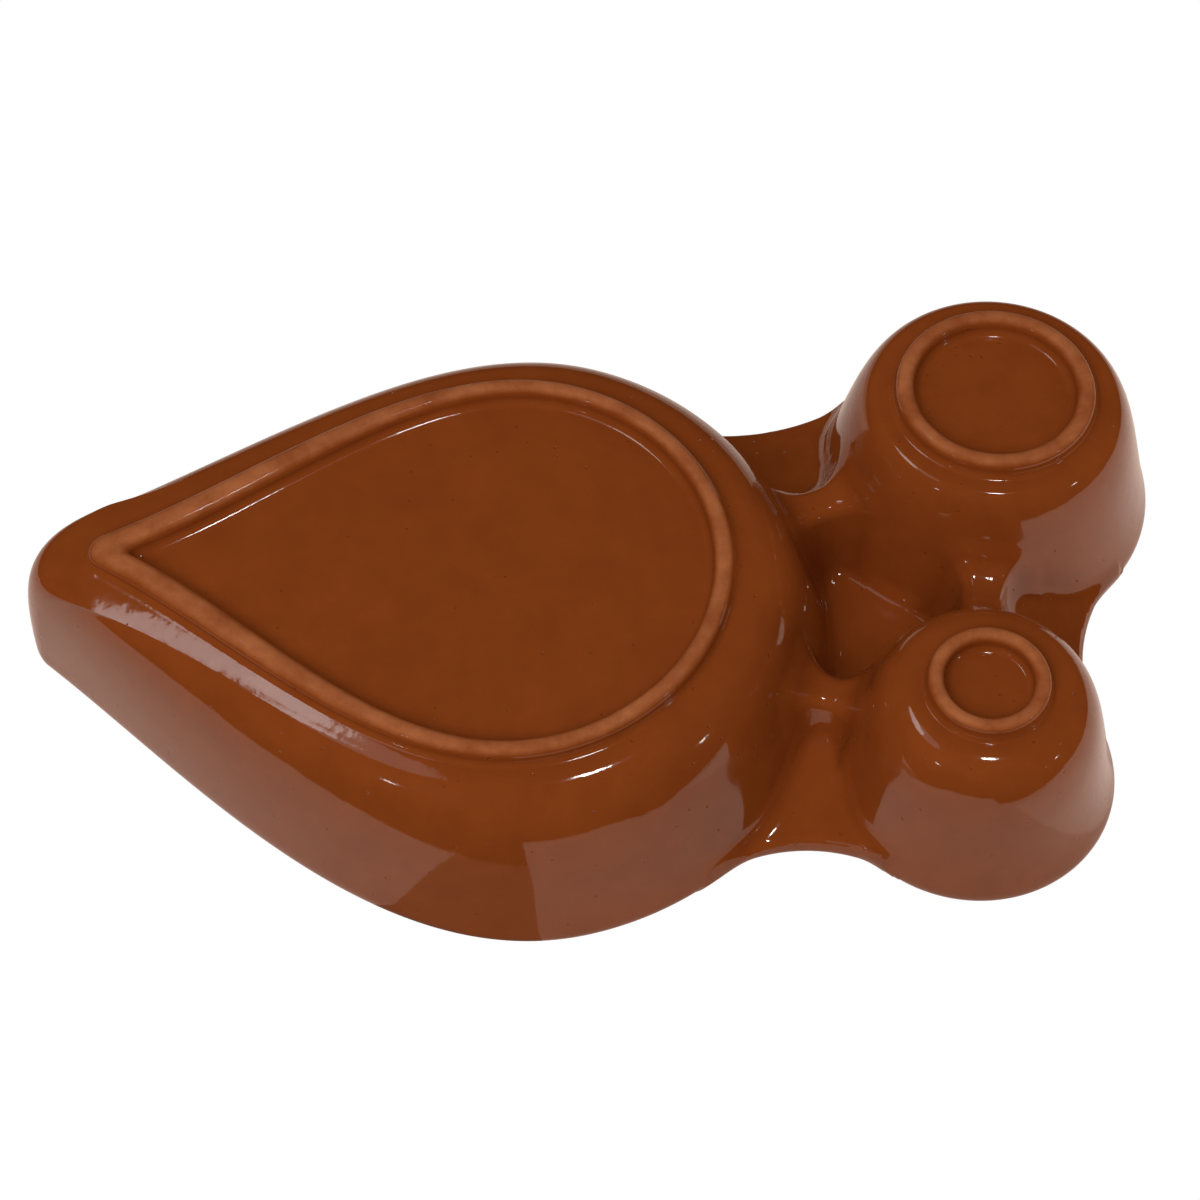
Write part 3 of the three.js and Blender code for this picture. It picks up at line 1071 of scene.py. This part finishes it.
@dataclass(frozen=True)
class GlazeFinish:
    """Transparent honey glaze over terracotta, dipped and fired, with its sizes in millimetres."""

    # Fired glaze is glassy, so it shines sharply over a warm brown, which is darker where the glaze
    # pools in corners. Its surface is a little wavy, and here and there a pinhole shows.
    name: str = "honey_glaze_over_terracotta"
    thin: str = "#8d4319"
    thick: str = "#551d06"
    ior: float = 1.5
    roughness: float = 0.07
    mottle_size: float = 9.09
    mottle_share: float = 0.2
    pool_share: float = 0.3
    ripple_size: float = 14.29
    ripple_depth: float = 0.16
    pool_ripple_depth: float = 0.3
    pinhole_spacing: float = 3.2
    pinhole_share: float = 0.35
    pinhole_depth: float = 0.2

    def coat(self, nodes: Nodes, place: bpy.types.NodeSocket) -> bpy.types.Node:
        """Adds the glaze's shader: mottled honey colour, pinholes, and a faint ripple.

        Args:
            nodes: the material's nodes.
            place: the coordinates that the patterns read.

        Returns:
            The shader's node.
        """
        pool = nodes.add("ShaderNodeAttribute", attribute_name="glaze_fill").outputs["Fac"]
        mottle = nodes.add("ShaderNodeTexNoise", {
            "Vector": place, "Scale": pattern_scale(self.mottle_size), "Detail": 5.0, "Roughness": 0.6})
        shade = nodes.add("ShaderNodeMapRange", {
            "Value": mottle.outputs["Fac"], "From Min": 0.3, "From Max": 0.7,
            "To Min": 0.0, "To Max": self.mottle_share})
        depth = nodes.add("ShaderNodeMath", {
            0: pool, 1: self.pool_share, 2: shade.outputs["Result"]}, operation="MULTIPLY_ADD")
        colour = nodes.add("ShaderNodeMix", {
            "Factor": depth.outputs[0], "A": srgb(self.thin), "B": srgb(self.thick)}, data_type="RGBA")
        cells = nodes.add("ShaderNodeTexVoronoi", {
            "Vector": place, "Scale": pattern_scale(self.pinhole_spacing)})
        hole = nodes.add("ShaderNodeMapRange", {
            "Value": cells.outputs["Distance"], "From Min": 0.05, "From Max": 0.11,
            "To Min": 1.0, "To Max": 0.0})
        chance = nodes.add("ShaderNodeSeparateColor", {"Color": cells.outputs["Color"]}).outputs["Red"]
        chosen = nodes.add("ShaderNodeMath", {0: chance, 1: self.pinhole_share}, operation="LESS_THAN")
        pinhole = nodes.add("ShaderNodeMath", {
            0: hole.outputs["Result"], 1: chosen.outputs[0]}, operation="MULTIPLY")
        ripple = nodes.add("ShaderNodeTexNoise", {
            "Vector": place, "Scale": pattern_scale(self.ripple_size), "Detail": 4.0})
        uneven = nodes.add("ShaderNodeMath", {
            0: pool, 1: self.pool_ripple_depth * MM, 2: self.ripple_depth * MM}, operation="MULTIPLY_ADD")
        wavy = nodes.add("ShaderNodeBump", {
            "Height": ripple.outputs["Fac"], "Strength": 1.0, "Distance": uneven.outputs[0]})
        pitted = nodes.add("ShaderNodeBump", {
            "Height": pinhole.outputs[0], "Strength": 1.0, "Distance": self.pinhole_depth * MM,
            "Normal": wavy.outputs["Normal"]}, invert=True)
        return nodes.add("ShaderNodeBsdfPrincipled", {
            "Base Color": colour.outputs["Result"], "Roughness": self.roughness, "IOR": self.ior,
            "Normal": pitted.outputs["Normal"]})

    def build(self) -> bpy.types.Material:
        """Builds the material.

        Returns:
            The material.
        """
        material = bpy.data.materials.new(self.name)
        nodes = Nodes(material)
        place = nodes.add("ShaderNodeTexCoord").outputs["Object"]
        nodes.add("ShaderNodeOutputMaterial", {"Surface": self.coat(nodes, place).outputs["BSDF"]})
        return material


@dataclass(frozen=True)
class ClayFinish:
    """Terracotta sponged bare of glaze on the foot's standing face, with its sizes in millimetres."""

    # Wiped clay is matte and orange, clouded by the thin brown stain that the sponge leaves. Glaze
    # stays on the ring's sides, down to an uneven line. The clay's grit is finer than it is drawn.
    glaze: GlazeFinish
    name: str = "wiped_terracotta"
    clay: str = "#b16639"
    stain: str = "#93491f"
    roughness: float = 0.62
    specular: float = 0.2
    stain_size: float = 14.29
    grit_size: float = 0.714
    grit_depth: float = 0.1
    line_height: float = 0.55
    line_blur: float = 0.9
    line_wave: float = 4.17
    line_wander: float = 0.8

    def build(self) -> bpy.types.Material:
        """Builds the material: matte clay below an uneven line, glaze above it.

        Returns:
            The material.
        """
        material = bpy.data.materials.new(self.name)
        nodes = Nodes(material)
        place = nodes.add("ShaderNodeTexCoord").outputs["Object"]
        cloud = nodes.add("ShaderNodeTexNoise", {
            "Vector": place, "Scale": pattern_scale(self.stain_size), "Detail": 7.0, "Roughness": 0.68})
        stained = nodes.add("ShaderNodeMapRange", {
            "Value": cloud.outputs["Fac"], "From Min": 0.38, "From Max": 0.64})
        colour = nodes.add("ShaderNodeMix", {
            "Factor": stained.outputs["Result"], "A": srgb(self.clay), "B": srgb(self.stain)},
            data_type="RGBA")
        grit = nodes.add("ShaderNodeTexNoise", {
            "Vector": place, "Scale": pattern_scale(self.grit_size), "Detail": 2.0})
        rough = nodes.add("ShaderNodeBump", {
            "Height": grit.outputs["Fac"], "Strength": 0.6, "Distance": self.grit_depth * MM})
        bare = nodes.add("ShaderNodeBsdfPrincipled", {
            "Base Color": colour.outputs["Result"], "Roughness": self.roughness,
            "Specular IOR Level": self.specular, "Normal": rough.outputs["Normal"]})
        height = nodes.add("ShaderNodeSeparateXYZ", {"Vector": place}).outputs["Z"]
        wave = nodes.add("ShaderNodeTexNoise", {
            "Vector": place, "Scale": pattern_scale(self.line_wave), "Detail": 2.0})
        uneven = nodes.add("ShaderNodeMath", {
            0: wave.outputs["Fac"], 1: self.line_wander * MM, 2: height}, operation="MULTIPLY_ADD")
        above = nodes.add("ShaderNodeMapRange", {
            "Value": uneven.outputs[0], "From Min": self.line_height * MM,
            "From Max": (self.line_height + self.line_blur) * MM})
        coat = self.glaze.coat(nodes, place)
        both = nodes.add("ShaderNodeMixShader", {
            "Fac": above.outputs["Result"], 1: bare.outputs["BSDF"], 2: coat.outputs["BSDF"]})
        nodes.add("ShaderNodeOutputMaterial", {"Surface": both.outputs["Shader"]})
        return material


def make_piece(name: str, shell: Shell, node: str, material: bpy.types.Material) -> None:
    """Makes a mesh object in metres from a shell, and ties it to the frame.

    Args:
        name: name of the piece.
        shell: its points, faces, normals and pooled glaze.
        node: the solid that it replaces.
        material: its finish.
    """
    mesh = bpy.data.meshes.new(name)
    quads, triangles = len(shell.quads), len(shell.triangles)
    corners = np.concatenate([shell.quads.ravel(), shell.triangles.ravel()])
    starts = np.concatenate([4 * np.arange(quads), 4 * quads + 3 * np.arange(triangles)])
    mesh.vertices.add(len(shell.points))
    mesh.vertices.foreach_set("co", (shell.points * MM).astype(np.float32).ravel())
    mesh.loops.add(len(corners))
    mesh.loops.foreach_set("vertex_index", corners.astype(np.int32))
    mesh.polygons.add(len(starts))
    mesh.polygons.foreach_set("loop_start", starts.astype(np.int32))
    mesh.polygons.foreach_set("use_smooth", np.ones(len(starts), bool))
    mesh.update(calc_edges=True)
    mesh.validate()
    fill = mesh.attributes.new("glaze_fill", "FLOAT", "POINT")
    fill.data.foreach_set("value", shell.fill.astype(np.float32))
    mesh.normals_split_custom_set_from_vertices(shell.normals.astype(np.float32))
    mesh.materials.append(material)
    piece = bpy.data.objects.new(name, mesh)
    bpy.context.scene.collection.objects.link(piece)
    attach(piece, ROOT)
    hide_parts(node)
    log.info("%s: %d points, %d faces", name, len(shell.points), len(starts))


@dataclass(eq=False)
class OliveDish:
    """The whole dish: three vessels, their foot rings, the web and the ribs.

    The apron is the strip between the bowl's foot ring and its wall. Swell is the furthest that a
    surface moves out to the glaze in the corners, and lean is how far it moves down as it does.
    """

    bulb_centre: tuple[float, float] = (-17.40, 8.39)
    bulb_radius: float = 72.3
    bowl_reach: float = 111.0
    bowl_ring_radius: float = 49.5
    bowl_ring_reach: float = 91.0
    bowl_ring_taper: float = math.radians(27.2)
    bowl_ring_tip_width: float = 9.3
    bowl_apron: float = 3.9
    bowl_tip_apron: float = 6.4
    bowl_setback: float = 1.1
    pit_cup_centre: tuple[float, float] = (88.90, -41.19)
    pit_cup_radius: float = 39.5
    pick_cup_centre: tuple[float, float] = (84.73, 35.60)
    pick_cup_radius: float = 31.7
    ring_width: float = 4.4
    pick_ring_width: float = 3.6
    bowl_pit_hollow: float = 48.0
    pit_pick_hollow: float = 45.0
    pick_bowl_hollow: float = 36.0
    seam_fillet: float = 3.6
    rib_fillet: float = 5.0
    wall_swell: float = 10.0
    web_swell: float = 12.0
    wall_lean: float = 1.0
    rib_lean: float = 0.5

    def vessels(self) -> dict[str, Vessel]:
        """The bowl and the two cups.

        Returns:
            Vessels by the names of their solids.
        """
        bowl = Vessel(
            np.array(self.bulb_centre),
            rim=Teardrop(self.bulb_radius, self.bowl_reach, tip=7.3, taper=math.radians(37.4)),
            foot=Teardrop(self.bowl_ring_radius + self.bowl_apron,
                          self.bowl_ring_reach + self.bowl_tip_apron, tip=15.6,
                          taper=math.radians(20.8), setback=self.bowl_setback),
            ring=Teardrop(self.bowl_ring_radius, self.bowl_ring_reach, tip=4.5,
                          taper=self.bowl_ring_taper, setback=self.bowl_setback),
            curve=WallCurve(rim=(0.74, 0.25), foot=(0.65, 0.95)),
            tip_curve=WallCurve(rim=(0.82, 0.94), foot=(0.52, 0.95)),
            tip_reach=self.bowl_ring_reach,
            setback=self.bowl_setback,
        )
        pit_cup = Vessel(
            np.array(self.pit_cup_centre), rim=Circle(self.pit_cup_radius), foot=Circle(25.9),
            ring=Circle(22.5), curve=WallCurve(rim=(0.64, 0.38), foot=(0.5, 1.0)))
        pick_cup = Vessel(
            np.array(self.pick_cup_centre), rim=Circle(self.pick_cup_radius), foot=Circle(14.9),
            ring=Circle(13.0), curve=WallCurve(rim=(0.61, 0.45), foot=(0.73, 1.0)))
        return {"olive_bowl": bowl, "pit_cup": pit_cup, "pick_cup": pick_cup}

    def foot_rings(self, bowl: Vessel, pit_cup: Vessel, pick_cup: Vessel) -> dict[str, FootRing]:
        """The foot rings under the three vessels.

        Args:
            bowl: the bowl.
            pit_cup: the larger cup.
            pick_cup: the smaller cup.

        Returns:
            Foot rings by the names of their vessels.
        """
        width, slim = self.ring_width, self.pick_ring_width
        bowl_inner = Teardrop(
            self.bowl_ring_radius - width, self.bowl_ring_reach - self.bowl_ring_tip_width,
            tip=SHARPEST_TIP, taper=self.bowl_ring_taper, setback=self.bowl_setback)
        pit_inner, pick_inner = Circle(pit_cup.ring.radius - width), Circle(pick_cup.ring.radius - slim)
        return {
            "olive_bowl": FootRing(bowl.centre, bowl.ring, bowl_inner, width,
                                   fillet=1.6, recess_fillet=1.9),
            "pit_cup": FootRing(pit_cup.centre, pit_cup.ring, pit_inner, width,
                                fillet=1.6, recess_fillet=1.8),
            "pick_cup": FootRing(pick_cup.centre, pick_cup.ring, pick_inner, slim,
                                 fillet=1.1, recess_fillet=1.5, edge=1.7),
        }

    def build(self) -> None:
        """Builds and dresses every piece of the dish: vessels, web, ribs and foot rings."""
        finish = GlazeFinish()
        clay, glaze = ClayFinish(finish).build(), finish.build()
        vessels = self.vessels()
        bowl, pit_cup, pick_cup = vessels.values()
        web = Web((
            Hollow(bowl, pit_cup, self.bowl_pit_hollow),
            Hollow(pit_cup, pick_cup, self.pit_pick_hollow),
            Hollow(pick_cup, bowl, self.pick_bowl_hollow),
        ))
        ribs = {
            "bowl_to_pit_cup_rib": Rib(bowl, pit_cup),
            "bowl_to_pick_cup_rib": Rib(bowl, pick_cup),
            "pit_cup_to_pick_cup_rib": Rib(pit_cup, pick_cup),
        }
        joined = Joined([
            *((member, self.seam_fillet) for member in (*vessels.values(), web)),
            *((rib, self.rib_fillet) for rib in ribs.values()),
        ])
        for name, vessel in vessels.items():
            shell = vessel.shell()
            joined.settle(shell, vessel, self.wall_swell, self.wall_lean)
            make_piece(f"{name}_glazed", shell, name, glaze)
        shell = web.shell()
        joined.settle(shell, web, self.web_swell, 0.0, ramped=True)
        make_piece("rim_web_glazed", shell, "rim_web", glaze)
        for name, rib in ribs.items():
            shell = rib.shell()
            joined.settle(shell, rib, self.wall_swell, self.rib_lean)
            make_piece(f"{name}_glazed", shell, name, glaze)
        for name, ring in self.foot_rings(bowl, pit_cup, pick_cup).items():
            shell = ring.shell(vessels[name].ring_base)
            make_piece(f"{name}_foot_wiped", shell, f"{name}_foot", clay)


@dataclass(frozen=True)
class PhotoCamera:
    """Camera at the photograph's viewing angle: below the dish, looking up at its feet.

    Its axes are directions in the part's frame, and the target is a place in millimetres.
    """

    right: Vector = Vector((0.99877, -0.04428, 0.02234))
    up: Vector = Vector((-0.02487, -0.83671, -0.54715))
    back: Vector = Vector((0.0429, 0.5459, -0.8368))
    target: Vector = Vector((0.50, -7.73, 41.0))
    distance: float = 607.87
    lens: float = 78.69
    sensor: float = 36.0

    def add(self) -> None:
        """Adds the camera and makes it the scene's own."""
        data = bpy.data.cameras.new("camera")
        data.sensor_width, data.lens = self.sensor, self.lens
        data.clip_start, data.clip_end = 0.01, 50.0
        camera = bpy.data.objects.new("camera", data)
        bpy.context.scene.collection.objects.link(camera)
        turn = Matrix((self.right, self.up, self.back)).transposed().to_4x4()
        camera.matrix_world = Matrix.Translation((self.target + self.back * self.distance) * MM) @ turn
        bpy.context.scene.camera = camera


@dataclass(frozen=True)
class Lamp:
    """Area lamp at an elevation and azimuth seen from the dish as the photograph shows it.

    Azimuth 0 points away from the camera and 90 to its right, and up is towards the dish's feet.
    Width, height and distance are metres.
    """

    name: str
    elevation: float
    azimuth: float
    width: float
    height: float
    radiance: float
    distance: float = 1.2
    mirrored: bool = True
    spread: float = 180.0

    def add(self) -> None:
        """Adds the lamp, turned to the dish, with the power that gives its ellipse the radiance."""
        el, az = math.radians(self.elevation), math.radians(self.azimuth)
        way = math.cos(el) * (math.cos(az) * FAR + math.sin(az) * SIDE) - math.sin(el) * UP
        area = math.pi / 4 * self.width * self.height
        data = bpy.data.lights.new(self.name, "AREA")
        data.shape = "ELLIPSE"
        data.size, data.size_y = self.width, self.height
        data.spread = math.radians(self.spread)
        data.energy = self.radiance * math.pi * area
        lamp = bpy.data.objects.new(self.name, data)
        bpy.context.scene.collection.objects.link(lamp)
        lamp.location = way * self.distance
        lamp.rotation_euler = way.to_track_quat("Z", "Y").to_euler()
        lamp.visible_camera = False
        lamp.visible_glossy = self.mirrored


@dataclass(frozen=True)
class Sheet:
    """Flat sheet in matte paint that is seen only from its front, with some light of its own."""

    name: str
    corners: Sequence[tuple[float, float, float]]
    colour: str
    glow: float = 0.0

    def paint(self) -> bpy.types.Material:
        """Builds matte paint, which shows one flat tone and is clear on the sheet's back.

        Returns:
            The material.
        """
        material = bpy.data.materials.new(f"matte_paint_{self.name}")
        nodes = Nodes(material)
        matte = nodes.add("ShaderNodeBsdfPrincipled", {
            "Base Color": srgb(self.colour), "Roughness": 1.0, "Specular IOR Level": 0.0,
            "Emission Color": srgb(self.colour), "Emission Strength": self.glow})
        clear = nodes.add("ShaderNodeBsdfTransparent")
        back = nodes.add("ShaderNodeNewGeometry").outputs["Backfacing"]
        sides = nodes.add("ShaderNodeMixShader", {
            "Fac": back, 1: matte.outputs["BSDF"], 2: clear.outputs["BSDF"]})
        nodes.add("ShaderNodeOutputMaterial", {"Surface": sides.outputs["Shader"]})
        return material

    def add(self, mirrored: bool) -> None:
        """Adds the sheet to the stage, with no shadow and no light thrown on the dish.

        Args:
            mirrored: whether it shows only in the glaze, and otherwise only to the camera.
        """
        mesh = bpy.data.meshes.new(self.name)
        mesh.from_pydata(self.corners, [], [range(len(self.corners))])
        mesh.materials.append(self.paint())
        sheet = bpy.data.objects.new(self.name, mesh)
        bpy.context.scene.collection.objects.link(sheet)
        sheet.visible_glossy, sheet.visible_camera = mirrored, not mirrored
        sheet.visible_diffuse = sheet.visible_shadow = False


def add_stage() -> None:
    """Pale floor under the feet, and the white table that the turned-over dish mirrors.

    The table lies at the level of the rims, with a dark upright sheet beside it. Places are metres.
    """
    reach, rim = FLOOR_REACH, HEIGHT * MM
    square = [(-reach, -reach), (reach, -reach), (reach, reach), (-reach, reach)]
    Sheet("floor", [(x, y, -FLOOR_DROP) for x, y in square], "#f2f0ec", 0.38).add(mirrored=False)
    table = [
        (-0.45, -0.4), (0.4, -0.4), (0.4, 0.14), (0.11, 0.15), (0.11, 0.235), (-0.008, 0.235),
        (-0.008, 0.125), (-0.18, 0.118), (-0.3, 0.16), (-0.45, 0.165),
    ]
    shade = [(-0.045, 0.06), (-0.008, 0.06), (-0.008, 0.125), (-0.045, 0.124)]
    back = [(-0.45, -0.4), (0.2, -0.4), (0.2, -0.13), (-0.45, -0.13)]
    right = [(0.118, -0.13), (0.4, -0.13), (0.4, 0.12), (0.118, 0.12)]
    plans = (
        # The warm tint of these table sheets is painted light, bounced onto the white table from the
        # orange dish.
        ("table", table, "#fbe2d3", 0.1),
        ("table_shade", shade, "#9a8272", 0.03),
        # Darker sheet with less glow: painted shade on the far part of the table.
        ("table_back_painted_shade", back, "#d8c0b0", 0.08),
        # Paler sheet that glows more: painted light on the right part of the table.
        ("table_right_painted_light", right, "#ffe9da", 0.3),
    )
    for layer, (name, plan, colour, glow) in enumerate(plans):
        corners = [(x, y, rim - layer * TABLE_STEP) for x, y in reversed(plan)]
        Sheet(name, corners, colour, glow).add(mirrored=True)
    upright = [(-0.18, 0.13, rim), (-0.008, 0.13, rim), (-0.008, 0.13, -0.14), (-0.18, 0.13, -0.14)]
    Sheet("viewer", upright, "#1a1817").add(mirrored=True)


def add_light(ambient: float = 0.30) -> None:
    """Even studio light: an ambient world, a softbox, and small ceiling lamps for the highlights.

    Args:
        ambient: strength of the world's light on the dish, which the glaze doesn't mirror.
    """
    scene = bpy.context.scene
    scene.view_settings.view_transform = "Standard"
    scene.world = bpy.data.worlds.new("studio")
    nodes = Nodes(scene.world)
    path = nodes.add("ShaderNodeLightPath").outputs
    strength = nodes.add("ShaderNodeMath", {
        0: path["Is Diffuse Ray"], 1: ambient, 2: path["Is Camera Ray"]}, operation="MULTIPLY_ADD")
    ground = nodes.add("ShaderNodeBackground", {"Color": (1, 1, 1, 1), "Strength": strength.outputs[0]})
    nodes.add("ShaderNodeOutputWorld", {"Surface": ground.outputs["Background"]})
    for lamp in (
        Lamp("key", 45, -153, 0.7, 0.7, 5.0, mirrored=False),
        Lamp("softbox", 65, -62, 0.46, 0.2, 4.0),
        Lamp("ceiling_glow", 70, -80, 0.6, 0.36, 0.8, distance=1.4),
        Lamp("ceiling_lamp", 80, 112, 0.12, 0.11, 50.0),
        Lamp("right_fill", -9, 92, 0.4, 0.3, 1.4, mirrored=False, spread=60.0),
        Lamp("left_lamp", 31, -137, 0.06, 0.06, 15.0),
        Lamp("right_lamp", 19, 116, 0.06, 0.06, 18.0),
        Lamp("overhead", -75, -60, 0.8, 0.8, 5.0, distance=1.4),
    ):
        lamp.add()


def main() -> None:
    """Builds the dish, the camera, the stage and the light."""
    logging.basicConfig(level=logging.INFO, format="%(name)s %(message)s")
    OliveDish().build()
    PhotoCamera().add()
    add_stage()
    add_light()


if __name__ == "__main__":
    main()
